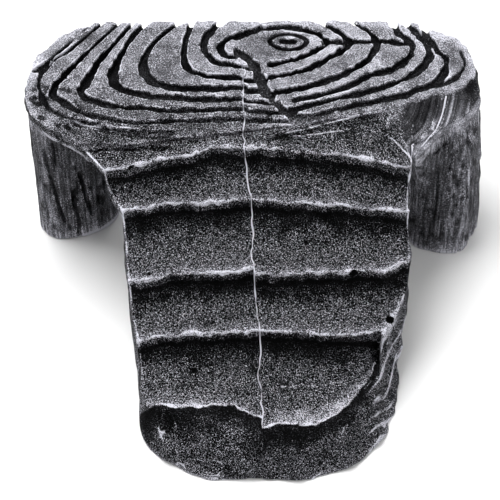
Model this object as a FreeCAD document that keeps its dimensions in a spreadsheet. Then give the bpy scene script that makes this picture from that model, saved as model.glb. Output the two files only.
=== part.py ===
import os

import FreeCAD
import Part
import Sketcher
from FreeCAD import Placement, Rotation, Vector

# Resin cave ornament: a ringed platform on two bark-sided legs, with a flight of
# scooped steps running down from its front edge. The space under the platform and
# the stair is the cave. Row frame in millimetres: +Z up, the stair runs towards -Y,
# the origin is at the bottom centre of the whole object.
#
# Everything that carries the growth-ring face or the steps is cast in two halves that
# meet on a seam a little off the centre line. The legs are glued under the platform.

doc = FreeCAD.newDocument("cave_ornament")
sheet = doc.addObject("Spreadsheet::Sheet", "Dims")

# ---------------------------------------------------------------- driving dimensions

DIMENSIONS = [
    ("total_height", 55.0, "floor to the top of the platform"),
    ("platform_thickness", 6.5, "platform slab"),
    ("rim_height", 3.0, "height of the sloping rim along the platform's outer top edge"),
    ("rim_share", 0.955, "platform's top outline, as a share of its widest one"),
    ("under_rim_height", 2.0, "height of the tucked rim along the outer bottom edge"),
    ("under_rim_share", 0.98, "platform's bottom outline, as a share of its widest one"),
    ("bond_thickness", 1.5, "glue pad between a leg and the platform"),
    ("leg_top_share", 0.97, "leg outline at the top, as a share of the outline at the floor"),
    ("ring_depth", 1.3, "depth of a growth-ring groove"),
    ("ring_width", 1.5, "width of a growth-ring groove"),
    ("ring_centre_x", 3.5, "middle of the rings, across"),
    ("ring_centre_y", 52.0, "middle of the rings, from the origin towards the back"),
    ("ring_ratio", 0.54, "depth of a ring over its width"),
    ("stair_top", 54.0, "height of the stair where it meets the platform"),
    ("first_nose", 52.0, "height of the uppermost step's edge"),
    ("step_rise", 10.0, "drop from one step's edge to the next"),
    ("cove_bulge", 0.42, "hollow of each step, as the tangent of a quarter of its arc"),
    ("foot_bulge", 0.22, "swell of the foot below the lowest step"),
    ("seam_offset", 1.4, "how far the right half's steps stand in front of the left half's"),
    ("stair_foot", -60.0, "where the swell of the foot would reach the floor, before the outline trims it"),
    ("crawl_front", -30.0, "where the hollow under the stair reaches the floor"),
    ("crawl_back", 25.0, "back end of the stair's underside line"),
    ("crawl_height", 42.0, "height of the stair's underside at the platform"),
    ("bead_width", 0.8, "width of the raised line along the seam"),
    ("bead_forward", 1.0, "how far the seam line stands in front of the surface"),
    ("bead_up", 0.4, "how far the seam line stands above the surface"),
    ("bead_root", 1.5, "how far the seam line goes into the surface"),
    ("cheek_cutter", 80.0, "side of the block that slopes the foot's right cheek"),
    ("seam_block_width", 20.0, "width of the blocks whose skin the seam line is cut from"),
    ("seam_wall_foot", 4.0, "height at which the wall that gives the seam line its width starts"),
    ("seam_wall_height", 60.0, "height of that wall, enough to pass the platform's top"),
    ("seam_front", -52.0, "front end of the seam line, on the foot"),
    ("seam_back", 44.0, "back end of the seam line, on the platform"),
]

# Each step's edge: distance from the origin at the seam, then how far that edge runs
# forwards by the left side and by the right side, 40 mm from the seam.
STEP_EDGES = [
    ("nose_one", 13.5, 8.5, 8.0),
    ("nose_two", 3.6, 5.2, 4.5),
    ("nose_three", -13.3, 4.5, -4.0),
    ("nose_four", -25.6, 4.4, -7.0),
    ("nose_five", -43.8, -4.5, -16.0),
]
SIDE_REACH = 40.0

# Semi-axes of the growth rings across the platform, in mm.
RINGS = [6.5, 13.5, 19.5, 26.5, 36.5, 43.5, 50.0, 55.0, 59.5]

# Outlines in plan. Each corner is (x, y, swell), where swell is the tangent of a quarter
# of the arc that runs to the next corner, and 0 makes that side straight.
SEAM_FOOT = (0.4, -59.0)
SEAM_BEND = (-0.9, -14.0)
SEAM_MEETS_PLATFORM = (-4.5, 17.76)
SEAM_BACK = (-6.0, 59.0)
CORNER_LEFT = (-49.4, 10.5)
CORNER_NOTCH = (34.0, 24.0)
CORNER_TIP = (40.0, 9.0)

PLATFORM_LEFT = [
    (*SEAM_BACK, 0),
    (-44.0, 59.0, 0.10),
    (-51.0, 57.4, 0.05),
    (-56.5, 53.4, 0.05),
    (-61.5, 46.8, 0.08),
    (-64.5, 38.0, 0.08),
    (-64.0, 28.0, 0.10),
    (-57.5, 18.0, 0.05),
    (*CORNER_LEFT, 0),
    (*SEAM_MEETS_PLATFORM, 0),
]
PLATFORM_RIGHT = [
    (*SEAM_MEETS_PLATFORM, 0),
    (*CORNER_NOTCH, 0),
    (*CORNER_TIP, 0),
    (49.0, 18.5, 0.03),
    (57.5, 27.5, 0.08),
    (60.8, 35.5, 0.10),
    (60.0, 43.5, 0.08),
    (56.5, 49.4, 0.04),
    (50.0, 55.0, 0.06),
    (42.0, 59.0, 0),
    (*SEAM_BACK, 0),
]
STAIR_LEFT = [
    (*SEAM_MEETS_PLATFORM, 0),
    (*CORNER_LEFT, -0.06),
    (-38.4, -1.5, 0),
    (-36.0, -10.0, 0),
    (-33.8, -30.0, 0.05),
    (-31.5, -41.0, 0.08),
    (-25.5, -50.0, 0.08),
    (-13.5, -57.0, 0.08),
    (*SEAM_FOOT, 0),
    (*SEAM_BEND, 0),
]
STAIR_RIGHT = [
    (*SEAM_BEND, 0),
    (*SEAM_FOOT, 0.08),
    (17.5, -55.5, 0.08),
    (29.0, -47.0, 0.06),
    (35.5, -37.5, 0.04),
    (39.5, -24.0, 0.04),
    (41.0, -8.0, 0),
    (39.6, 0.0, 0),
    (*CORNER_TIP, 0),
    (*CORNER_NOTCH, 0),
    (*SEAM_MEETS_PLATFORM, 0),
]
LOBE = 0.16
INNER = 0.03
LEG_LEFT = [
    (-62.0, 26.2, LOBE),
    (-57.0, 25.0, LOBE),
    (-50.5, 26.6, LOBE),
    (-44.0, 31.8, LOBE),
    (-40.8, 40.0, INNER),
    (-40.2, 49.0, INNER),
    (-41.5, 57.0, LOBE),
    (-48.0, 57.4, LOBE),
    (-54.5, 51.8, LOBE),
    (-60.0, 45.5, LOBE),
    (-63.0, 39.0, LOBE),
    (-64.2, 32.5, LOBE),
]
LEG_RIGHT = [
    (44.8, 23.5, LOBE),
    (49.8, 20.4, LOBE),
    (55.5, 19.5, LOBE),
    (61.0, 22.0, LOBE),
    (64.0, 28.0, LOBE),
    (64.2, 35.0, LOBE),
    (61.8, 41.5, LOBE),
    (57.5, 47.0, LOBE),
    (52.0, 52.5, LOBE),
    (46.0, 57.2, LOBE),
    (39.5, 57.5, INNER),
    (38.5, 49.0, INNER),
    (39.5, 40.0, INNER),
    (41.4, 31.0, INNER),
]
# The right leg's top flares forwards to meet the platform's front edge.
LEG_RIGHT_TOP = [
    (42.0, 14.0, LOBE),
    (46.0, 18.0, LOBE),
    (50.4, 22.0, LOBE),
    (55.4, 26.0, LOBE),
    (59.2, 30.6, LOBE),
    (60.6, 36.4, LOBE),
    (59.6, 42.2, LOBE),
    (56.4, 47.4, LOBE),
    (51.4, 52.6, LOBE),
    (46.0, 56.6, LOBE),
    (40.5, 57.0, INNER),
    (39.0, 48.5, INNER),
    (39.0, 37.5, INNER),
    (39.6, 25.5, INNER),
]
TONGUE_LEFT = [
    (-38.0, 10.3),
    (-4.5, 15.8),
    SEAM_MEETS_PLATFORM,
    (-4.8, 25.8),
    (-38.0, 20.3),
]
TONGUE_RIGHT = [
    (-4.2, 15.8),
    (31.0, 21.5),
    (31.0, 31.5),
    (-4.8, 25.8),
    SEAM_MEETS_PLATFORM,
]


def fill_sheet():
    """Writes every driving dimension to the sheet, one row each, with its alias."""
    rows = list(DIMENSIONS)
    for name, at_seam, left, right in STEP_EDGES:
        rows.append((name, at_seam, "step edge at the seam"))
        rows.append((name + "_left_bow", left, "the same edge's run forwards by the left side"))
        rows.append((name + "_right_bow", right, "the same edge's run forwards by the right side"))
    outlines = {
        "platform_left": PLATFORM_LEFT,
        "platform_right": PLATFORM_RIGHT,
        "stair_left": STAIR_LEFT,
        "stair_right": STAIR_RIGHT,
        "leg_left": LEG_LEFT,
        "leg_right": LEG_RIGHT,
        "leg_right_top": LEG_RIGHT_TOP,
        "tongue_left": TONGUE_LEFT,
        "tongue_right": TONGUE_RIGHT,
    }
    for name, corners in outlines.items():
        for number, corner in enumerate(corners):
            rows.append((f"{name}_{number}_x", corner[0], "outline corner, across"))
            rows.append((f"{name}_{number}_y", corner[1], "outline corner, front to back"))
    for number, half_width in enumerate(RINGS):
        rows.append((f"ring_{number}_reach", half_width, "growth ring, half its width"))
    for row, (alias, value, meaning) in enumerate(rows, start=1):
        sheet.set(f"A{row}", alias)
        sheet.set(f"B{row}", str(value))
        sheet.set(f"C{row}", meaning)
        sheet.setAlias(f"B{row}", alias)
    doc.recompute()


fill_sheet()


def size(alias):
    """The number in the sheet under that alias."""
    return float(sheet.get(alias))


# ---------------------------------------------------------------- sketch helpers


def origin_plane(body, role):
    return next(f for f in body.Origin.OriginFeatures if f.Role == role)


def new_sketch(body, name, role, lift=None):
    """A sketch on one of the body's origin planes, moved along that plane's normal by lift."""
    made = body.newObject("Sketcher::SketchObject", name)
    made.AttachmentSupport = (origin_plane(body, role), [""])
    made.MapMode = "FlatFace"
    if lift is not None:
        made.setExpression(".AttachmentOffset.Base.z", lift)
    return made


def arc_middle(start, end, swell):
    """The middle point of the arc from start to end. Positive swell bows to the right of the way there."""
    chord = end - start
    side = Vector(chord.y, -chord.x, 0)
    return (start + end) * 0.5 + side * (swell * 0.5)


def end_near(sketch, geometry, point):
    """1 or 2: which end of that piece of the sketch lies at point."""
    first = sketch.getPoint(geometry, 1)
    second = sketch.getPoint(geometry, 2)
    return 1 if (first - point).Length < (second - point).Length else 2


def draw_loop(sketch, corners):
    """A closed loop of lines and arcs. Each corner is (x formula, y formula, swell)."""
    places = []
    for x, y, swell in corners:
        places.append(Vector(evaluate(x), evaluate(y), 0))
    count = len(corners)
    made = []
    for i in range(count):
        start, end = places[i], places[(i + 1) % count]
        swell = corners[i][2]
        if swell:
            piece = Part.Arc(start, arc_middle(start, end, swell), end)
        else:
            piece = Part.LineSegment(start, end)
        made.append(sketch.addGeometry(piece, False))
    for i in range(count):
        here, after = made[i], made[(i + 1) % count]
        joint = places[(i + 1) % count]
        sketch.addConstraint(
            Sketcher.Constraint(
                "Coincident",
                here,
                end_near(sketch, here, joint),
                after,
                end_near(sketch, after, joint),
            )
        )
    for i in range(count):
        where = end_near(sketch, made[i], places[i])
        for kind, formula, value in (
            ("DistanceX", corners[i][0], places[i].x),
            ("DistanceY", corners[i][1], places[i].y),
        ):
            number = sketch.addConstraint(
                Sketcher.Constraint(kind, -1, 1, made[i], where, value)
            )
            sketch.setExpression(f"Constraints[{number}]", formula)
        if corners[i][2]:
            radius = sketch.Geometry[made[i]].Radius
            sketch.addConstraint(Sketcher.Constraint("Radius", made[i], radius))


def evaluate(formula):
    """The value of a sheet formula, such as 'Dims.first_nose - Dims.step_rise'."""
    return float(sheet.evalExpression(formula.replace("Dims.", "")))


def plan_corners(name, corners):
    """An outline's corners as formulas that read the sheet."""
    found = []
    for number, corner in enumerate(corners):
        swell = corner[2] if len(corner) > 2 else 0
        found.append((f"Dims.{name}_{number}_x", f"Dims.{name}_{number}_y", swell))
    return found


def scaled_corners(name, corners, centre_x, centre_y, share):
    """The outline scaled about a centre by a share that is itself a formula."""
    found = []
    for x, y, swell in plan_corners(name, corners):
        found.append(
            (
                f"{centre_x:.3f} + ({x} - {centre_x:.3f}) * {share}",
                f"{centre_y:.3f} + ({y} - {centre_y:.3f}) * {share}",
                swell,
            )
        )
    return found


def middle_of(corners):
    """The average of an outline's corners."""
    count = len(corners)
    return sum(c[0] for c in corners) / count, sum(c[1] for c in corners) / count


def pad(body, name, sketch, length):
    made = body.newObject("PartDesign::Pad", name)
    made.Profile = sketch
    made.setExpression("Length", length)
    sketch.Visibility = False
    return made


# ---------------------------------------------------------------- platform


def platform_half(name, outline_name, corners):
    """Half of the platform slab, as a ruled loft that slopes in at its top and bottom rims.

    The smaller outlines shrink towards the point where the seam meets the stair, so the
    faces on the seam and on the stair's joint stay flat.
    """
    body = doc.addObject("PartDesign::Body", name + "_slab")
    bottom = "Dims.total_height - Dims.platform_thickness"
    levels = [
        (bottom, "Dims.under_rim_share"),
        (bottom + " + Dims.under_rim_height", "1"),
        ("Dims.total_height - Dims.rim_height", "1"),
        ("Dims.total_height", "Dims.rim_share"),
    ]
    centre_x, centre_y = SEAM_MEETS_PLATFORM
    sections = []
    for number, (lift, share) in enumerate(levels):
        sketch = new_sketch(body, f"{name}_level_{number}", "XY_Plane", lift)
        draw_loop(sketch, scaled_corners(outline_name, corners, centre_x, centre_y, share))
        sections.append(sketch)
    loft = body.newObject("PartDesign::AdditiveLoft", name + "_loft")
    loft.Profile = sections[0]
    loft.Sections = sections[1:]
    loft.Ruled = True
    doc.recompute()
    return body


def ring_cutters():
    """One elliptical trough for each growth ring, as tools that open the platform's top."""
    troughs = []
    for number in range(len(RINGS)):
        reach = f"Dims.ring_{number}_reach"
        sides = []
        for side, change in (("outer", "+"), ("inner", "-")):
            line = doc.addObject("Part::Ellipse", f"ring_{number}_{side}_line")
            line.setExpression("MajorRadius", f"{reach} {change} Dims.ring_width / 2")
            line.setExpression(
                "MinorRadius", f"{reach} * Dims.ring_ratio {change} Dims.ring_width / 2"
            )
            line.setExpression(".Placement.Base.x", "Dims.ring_centre_x")
            line.setExpression(".Placement.Base.y", "Dims.ring_centre_y")
            line.setExpression(".Placement.Base.z", "Dims.total_height - Dims.ring_depth")
            block = doc.addObject("Part::Extrusion", f"ring_{number}_{side}")
            block.Base = line
            block.Dir = Vector(0, 0, 1)
            block.DirMode = "Custom"
            block.Solid = True
            block.setExpression("LengthFwd", "Dims.ring_depth * 2")
            sides.append(block)
        trough = doc.addObject("Part::Cut", f"ring_{number}_trough")
        trough.Base, trough.Tool = sides
        troughs.append(trough)
    rings = doc.addObject("Part::Compound", "rings")
    rings.Links = troughs
    return rings


# ---------------------------------------------------------------- stair


def edge_formula(name, across, side):
    """A step edge's place at a distance across from the seam, on a parabola."""
    share = (across / SIDE_REACH) ** 2
    half = " - Dims.seam_offset" if side == "right" else ""
    return f"Dims.{name}{half} - {share:.4f} * Dims.{name}_{side}_bow"


def swell_below(number):
    """The swell of the surface below a step's edge: hollow for a step, full for the foot."""
    if number == len(STEP_EDGES) - 1:
        return size("foot_bulge")
    return -size("cove_bulge")


def stair_section(body, name, station, across, side):
    """One upright section through the stair, at x = station."""
    sketch = new_sketch(body, name, "YZ_Plane", str(station))
    corners = [("Dims.crawl_back", "Dims.stair_top", 0)]
    for number, edge in enumerate(STEP_EDGES):
        corners.append(
            (
                edge_formula(edge[0], across, side),
                f"Dims.first_nose - {number} * Dims.step_rise",
                swell_below(number),
            )
        )
    corners.append(("Dims.stair_foot", "0", 0))
    corners.append(("Dims.crawl_front", "0", 0))
    corners.append(("Dims.crawl_back", "Dims.crawl_height", 0))
    draw_loop(sketch, corners)
    return sketch


def stair_half(name, side, stations, outline_name, corners, tongue_name, tongue):
    """Half of the stair: a loft through upright sections, trimmed to its outline, with a lap tongue."""
    body = doc.addObject("PartDesign::Body", name + "_casting")
    sections = [
        stair_section(body, f"{name}_section_{number}", station, across, side)
        for number, (station, across) in enumerate(stations)
    ]
    loft = body.newObject("PartDesign::AdditiveLoft", name + "_loft")
    loft.Profile = sections[0]
    loft.Sections = sections[1:]
    loft.Ruled = True
    doc.recompute()
    before = loft.Shape.Volume
    trim = new_sketch(body, name + "_trim", "XY_Plane")
    reach = 200
    frame = [(-reach, -reach), (reach, -reach), (reach, reach), (-reach, reach)]
    draw_loop(trim, [(str(x), str(y), 0) for x, y in frame])
    draw_loop(trim, plan_corners(outline_name, corners))
    cut = body.newObject("PartDesign::Pocket", name + "_trimmed")
    cut.Profile = trim
    cut.Type = "ThroughAll"
    cut.Reversed = True
    doc.recompute()
    if not cut.Shape.Volume < 0.95 * before:
        raise RuntimeError(f"{name}: the trim cut nothing")
    lap = new_sketch(body, name + "_lap", "XY_Plane", "Dims.crawl_height")
    draw_loop(lap, plan_corners(tongue_name, tongue))
    pad(
        body,
        name + "_tongue",
        lap,
        "Dims.total_height - Dims.platform_thickness - Dims.crawl_height",
    )
    doc.recompute()
    return body


# ---------------------------------------------------------------- legs

LEG_HEIGHT = "Dims.total_height - Dims.platform_thickness - Dims.bond_thickness"


def left_leg_top():
    """The left leg's top outline: the one at the floor, made a little smaller."""
    middle_x, middle_y = middle_of(LEG_LEFT)
    return scaled_corners("leg_left", LEG_LEFT, middle_x, middle_y, "Dims.leg_top_share")


def leg(name, floor_corners, top_corners):
    """A leg: a loft from its lobed outline at the floor to the one at its top."""
    body = doc.addObject("PartDesign::Body", name + "_casting")
    floor = new_sketch(body, name + "_floor", "XY_Plane")
    draw_loop(floor, floor_corners)
    top = new_sketch(body, name + "_top", "XY_Plane", LEG_HEIGHT)
    draw_loop(top, top_corners)
    loft = body.newObject("PartDesign::AdditiveLoft", name + "_loft")
    loft.Profile = floor
    loft.Sections = [top]
    loft.Ruled = True
    doc.recompute()
    return body


def leg_bond(name, corners):
    """The glue pad that fills the joint between a leg and the platform."""
    body = doc.addObject("PartDesign::Body", name + "_body")
    sketch = new_sketch(body, name + "_outline", "XY_Plane", LEG_HEIGHT)
    draw_loop(sketch, corners)
    pad(body, name + "_pad", sketch, "Dims.bond_thickness")
    doc.recompute()
    return body


# ---------------------------------------------------------------- seam bead


def seam_profile(name, forward, up):
    """The stair and platform's side profile at the seam, moved forward and up, as a wide block."""
    body = doc.addObject("PartDesign::Body", name)
    sketch = new_sketch(body, name + "_profile", "YZ_Plane", "-Dims.seam_block_width / 2")
    back, joint, low = "Dims.seam_back + 8", "17", "-5"
    corners = [(back, "Dims.total_height", 0), (joint, "Dims.total_height", 0)]
    for number, edge in enumerate(STEP_EDGES):
        corners.append(
            (
                f"Dims.{edge[0]} - Dims.seam_offset / 2",
                f"Dims.first_nose - {number} * Dims.step_rise",
                swell_below(number),
            )
        )
    corners.append((str(SEAM_FOOT[1]), "0", 0))
    corners.append((str(SEAM_FOOT[1]), low, 0))
    corners.append((back, low, 0))
    moved = [(f"{y} - ({forward})", f"{z} + ({up})", swell) for y, z, swell in corners]
    draw_loop(sketch, moved)
    block = pad(body, name + "_block", sketch, "Dims.seam_block_width")
    doc.recompute()
    return body


def seam_wall():
    """A thin upright wall that follows the seam in plan."""
    body = doc.addObject("PartDesign::Body", "seam_wall")
    sketch = new_sketch(body, "seam_wall_plan", "XY_Plane", "Dims.seam_wall_foot")
    line = [
        (SEAM_FOOT[0] - 0.2, "Dims.seam_front"),
        SEAM_BEND,
        SEAM_MEETS_PLATFORM,
        (-5.45, "Dims.seam_back"),
    ]
    left = [(f"{x} - Dims.bead_width / 2", str(y), 0) for x, y in line]
    right = [(f"{x} + Dims.bead_width / 2", str(y), 0) for x, y in line]
    draw_loop(sketch, left + right[::-1])
    pad(body, "seam_wall_pad", sketch, "Dims.seam_wall_height")
    doc.recompute()
    return body


def seam_bead():
    """The raised line along the seam: the part of the wall that lies in a skin at the surface."""
    outer = seam_profile("seam_outer", "Dims.bead_forward", "Dims.bead_up")
    inner = seam_profile("seam_inner", "-Dims.bead_root", "-Dims.bead_root")
    in_outer = doc.addObject("Part::Common", "seam_in_outer")
    in_outer.Base, in_outer.Tool = seam_wall(), outer
    bead = doc.addObject("Part::Cut", "seam_bead_solid")
    bead.Base, bead.Tool = in_outer, inner
    return bead


# ---------------------------------------------------------------- assembly


def cut_away(name, base, tool):
    made = doc.addObject("Part::Cut", name)
    made.Base, made.Tool = base, tool
    return made


def cheek_cutter():
    """A block whose near face slopes the right side of the foot outwards to the floor."""
    on_face = Vector(33.0, -32.0, 12.0)
    outwards = Vector(0.83, -0.48, 0.28)
    block = doc.addObject("Part::Box", "cheek_block")
    for side in ("Length", "Width", "Height"):
        block.setExpression(side, "Dims.cheek_cutter")
    half = size("cheek_cutter") / 2
    turn = Rotation(Vector(0, 0, 1), outwards)
    corner = on_face - turn.multVec(Vector(half, half, 0))
    block.Placement = Placement(corner, turn)
    return block


# Stations of the stair's upright sections: (x, distance across from the seam).
STATIONS_LEFT = [(-56.0, 54.0), (-34.0, 34.0), (-16.0, 16.0), (6.0, 0.0)]
STATIONS_RIGHT = [(-8.0, 0.0), (14.0, 14.0), (28.0, 28.0), (50.0, 48.0)]

rings = ring_cutters()
bead = seam_bead()
cheek = cheek_cutter()

platform_left = platform_half("platform_left", "platform_left", PLATFORM_LEFT)
platform_right = platform_half("platform_right", "platform_right", PLATFORM_RIGHT)
stair_left = stair_half(
    "stair_left", "left", STATIONS_LEFT, "stair_left", STAIR_LEFT, "tongue_left", TONGUE_LEFT
)
stair_right = stair_half(
    "stair_right", "right", STATIONS_RIGHT, "stair_right", STAIR_RIGHT, "tongue_right", TONGUE_RIGHT
)

right_leg_top = plan_corners("leg_right_top", LEG_RIGHT_TOP)

parts = {
    "platform_left_half": cut_away(
        "platform_left_done", cut_away("platform_left_ringed", platform_left, rings), bead
    ),
    "platform_right_half": cut_away(
        "platform_right_done", cut_away("platform_right_ringed", platform_right, rings), bead
    ),
    "stair_left_half": cut_away("stair_left_done", stair_left, bead),
    "stair_right_half": cut_away(
        "stair_right_done", cut_away("stair_right_cheeked", stair_right, cheek), bead
    ),
    "left_leg": leg("left_leg", plan_corners("leg_left", LEG_LEFT), left_leg_top()),
    "right_leg": leg("right_leg", plan_corners("leg_right", LEG_RIGHT), right_leg_top),
    "left_leg_bond": leg_bond("left_leg_bond", left_leg_top()),
    "right_leg_bond": leg_bond("right_leg_bond", right_leg_top),
    "seam_bead": bead,
}
for label, part in parts.items():
    part.Label = label
doc.recompute()

# ---------------------------------------------------------------- checks and export

failed = [item.Name for item in doc.Objects if "Invalid" in item.State or "Error" in item.State]
if failed:
    raise RuntimeError(f"these objects failed: {failed}")
os.makedirs("parts", exist_ok=True)
for label, part in parts.items():
    shape = part.Shape
    if shape.isNull() or not shape.isValid() or not shape.Solids:
        raise RuntimeError(f"{label} has no valid solid")
    print(f"{label}: {len(shape.Solids)} solid(s), {shape.Volume / 1000:.2f} cm3, {shape.BoundBox}")
for label, part in parts.items():
    part.Shape.exportStep(f"parts/{label}.step")
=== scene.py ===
"""Looks of the resin cave ornament: a ringed platform on bark legs with a scooped stair.

Every piece is sculpted as a signed distance field on a regular grid, in millimetres of the
row frame: below 0 is resin, above 0 is air. A field is an outline, a height map of the top,
and rough detail added to both. The zero surface is then meshed, and each vertex gets paint
masks that its material reads: how exposed it is, how sunken, how brushed, how bare. Part of
the dark in the hollows and below each step's edge is painted shade.
"""

import itertools
import math
from collections import namedtuple

import bpy
import numpy as np
import openvdb
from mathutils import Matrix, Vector


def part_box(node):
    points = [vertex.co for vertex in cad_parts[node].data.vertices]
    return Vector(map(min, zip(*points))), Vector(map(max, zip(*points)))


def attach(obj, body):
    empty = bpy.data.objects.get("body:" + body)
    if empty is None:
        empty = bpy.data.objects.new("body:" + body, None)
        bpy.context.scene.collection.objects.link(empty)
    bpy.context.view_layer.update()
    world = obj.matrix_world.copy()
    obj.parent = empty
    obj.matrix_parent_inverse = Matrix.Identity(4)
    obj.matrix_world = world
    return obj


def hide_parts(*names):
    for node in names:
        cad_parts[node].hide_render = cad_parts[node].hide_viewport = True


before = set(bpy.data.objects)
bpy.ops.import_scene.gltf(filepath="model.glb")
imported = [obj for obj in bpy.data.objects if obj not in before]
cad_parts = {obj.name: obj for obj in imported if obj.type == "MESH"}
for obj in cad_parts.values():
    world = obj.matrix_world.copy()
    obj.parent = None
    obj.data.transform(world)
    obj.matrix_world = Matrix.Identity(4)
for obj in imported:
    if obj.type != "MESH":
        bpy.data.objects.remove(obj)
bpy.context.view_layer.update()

MM = 0.001
BODY = "root"
# A distance in mm that counts as nowhere near.
FAR = 9.0


def box_mm(*nodes):
    """Lowest and highest corners, in mm, of the box round those CAD nodes."""
    corners = np.array([[list(corner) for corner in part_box(node)] for node in nodes]) / MM
    return corners[:, 0].min(axis=0), corners[:, 1].max(axis=0)


PLATFORM_LOW, PLATFORM_HIGH = box_mm("platform_left_half", "platform_right_half")
STAIR_LOW = box_mm("stair_left_half", "stair_right_half")[0]

TOP = PLATFORM_HIGH[2]
# The ringed face, before its grooves and unevenness.
FACE = TOP - 0.35
UNDERSIDE = PLATFORM_LOW[2]
LEG_TOP = box_mm("left_leg")[1][2]
BACK = PLATFORM_HIGH[1] + 1.0
FRONT = STAIR_LOW[1]

# ---------------- lines in plan, in mm
# Points are (x, y). Curves run smoothly through them.

# The seam's middle line, the y where the bead on it ends, and the line between stair and platform.
SEAM = [(0.4, FRONT), (-0.4, -27), (-2, -14), (-2.4, 3), (-4.5, 17.8), (-6, BACK)]
SEAM_END = -49.0
JOINT = [(-66, 7.8), (-4.5, 17.8), (34, 24), (40.5, 8), (70, 8)]

PLATFORM_BOTTOM = [
    (-56.4, 18.6), (-60.4, 22.4), (-63.6, 26.4), (-64.7, 32), (-64.7, 38), (-63.4, 43.4),
    (-59.8, 50.2), (-55.4, 55.4), (-50.8, 58), (-46, 59.6), (-40, BACK), (-30, BACK),
    (0, BACK), (28, BACK), (39, BACK), (45, 58.8), (49.8, 56.2), (54.4, 53.4),
    (58.2, 49.4), (60.4, 43.8), (61, 37.5), (59.4, 31.6), (55.6, 27.2), (50.2, 23.6),
    (46.8, 19.4), (41, 12.4), (36, 4), (20, 0), (-30, 0), (-49.8, 14.6),
]
PLATFORM_TOP = [
    (-54, 16.6), (-58.6, 19.6), (-62.4, 22.4), (-64, 27), (-64.4, 33), (-64.4, 38),
    (-63.2, 43.2), (-59.6, 50), (-55.2, 55.2), (-50.6, 57.8), (-46, 59.4), (-40, BACK),
    (-30, BACK), (0, BACK), (28, BACK), (39, BACK), (44.8, 58.6), (49.6, 56),
    (54.2, 53.2), (57.8, 49.2), (59.6, 43.8), (59.2, 38.6), (54.2, 33.4), (49, 30.8),
    (43.4, 28), (39.4, 25.2), (34, 0), (-30, 0), (-48.2, 11.4),
]
STAIR_TOP_EDGE = [
    (-50, 18), (-49, 14), (-47.6, 11.4), (-45.2, 8.4), (-42.6, 5.4), (-39.8, 2.6), (-37.6, -0.6),
    (-36.6, -6), (-35.4, -17), (-33, -29), (-32, -35), (-31.8, -39.6), (-27.5, -43.6),
    (-17.5, -44.4), (-8.5, -43.8), (-3, -47), (0, -50.2), (8, -49.8), (15.5, -49),
    (24, -42.6), (28.6, -36.8), (31.4, -32.4), (32.8, -28), (34.2, -23.8), (37, -18.5),
    (39.2, -12), (40.3, -7), (39.6, -1), (39.6, 4), (40.3, 8), (38.8, 14),
    (37.4, 20), (36, 32), (-50, 32),
]
STAIR_FOOT_EDGE = [
    (-50, 18), (-46.5, 10.4), (-42.5, 5), (-39, -1.5), (-36.8, -8), (-35.2, -20),
    (-33.4, -31), (-33, -38), (-32.8, -44), (-29.4, -49.8), (-23.6, -54.4),
    (-16, -56.8), (-8, -58.2), (0.2, FRONT), (10.5, -59), (19.6, -57), (27.4, -52.6),
    (32.2, -46.6), (35, -39.8), (37, -32), (38.6, -24), (39.6, -15), (40.4, -8),
    (40, -1), (40.4, 6), (39.6, 12), (38, 20), (36, 32), (-50, 32),
]
LEFT_LEG_FOOT = [
    (-62.6, 26.2), (-57.4, 25), (-50.4, 26.4), (-43.8, 31.2), (-41, 39), (-40.6, 49),
    (-42.5, 56.4), (-48, 57.6), (-54.4, 53), (-60.6, 46), (-64.2, 39.4), (-65.3, 32.5),
]
LEFT_LEG_HEAD = [
    (-62.4, 26.8), (-57.4, 24.6), (-50.2, 26), (-44.4, 31.5), (-41.4, 39), (-41, 49),
    (-42.5, 56.2), (-48, 57.2), (-54.4, 53.6), (-60.6, 46.4), (-64, 39.4), (-65, 32.4),
]
RIGHT_LEG_FOOT = [
    (44.6, 22.8), (49.8, 20.2), (54.6, 19.2), (59, 20.2), (61.8, 24.6), (63.8, 30),
    (64.2, 36.5), (61.6, 42.5), (57, 48.5), (51.6, 53.5), (45.6, 57.2), (39.8, 57.2),
    (38.8, 49), (38.8, 40), (40.6, 31),
]
RIGHT_LEG_HEAD = [
    (41.8, 13), (46.2, 18.2), (49.8, 22.6), (55, 25.8), (59, 29.4), (60.8, 34),
    (60.4, 39), (58.6, 44), (55.2, 49), (50.4, 53.6), (45, 57), (40, 57.2),
    (38.8, 49), (38.6, 36), (39.2, 22),
]

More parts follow.
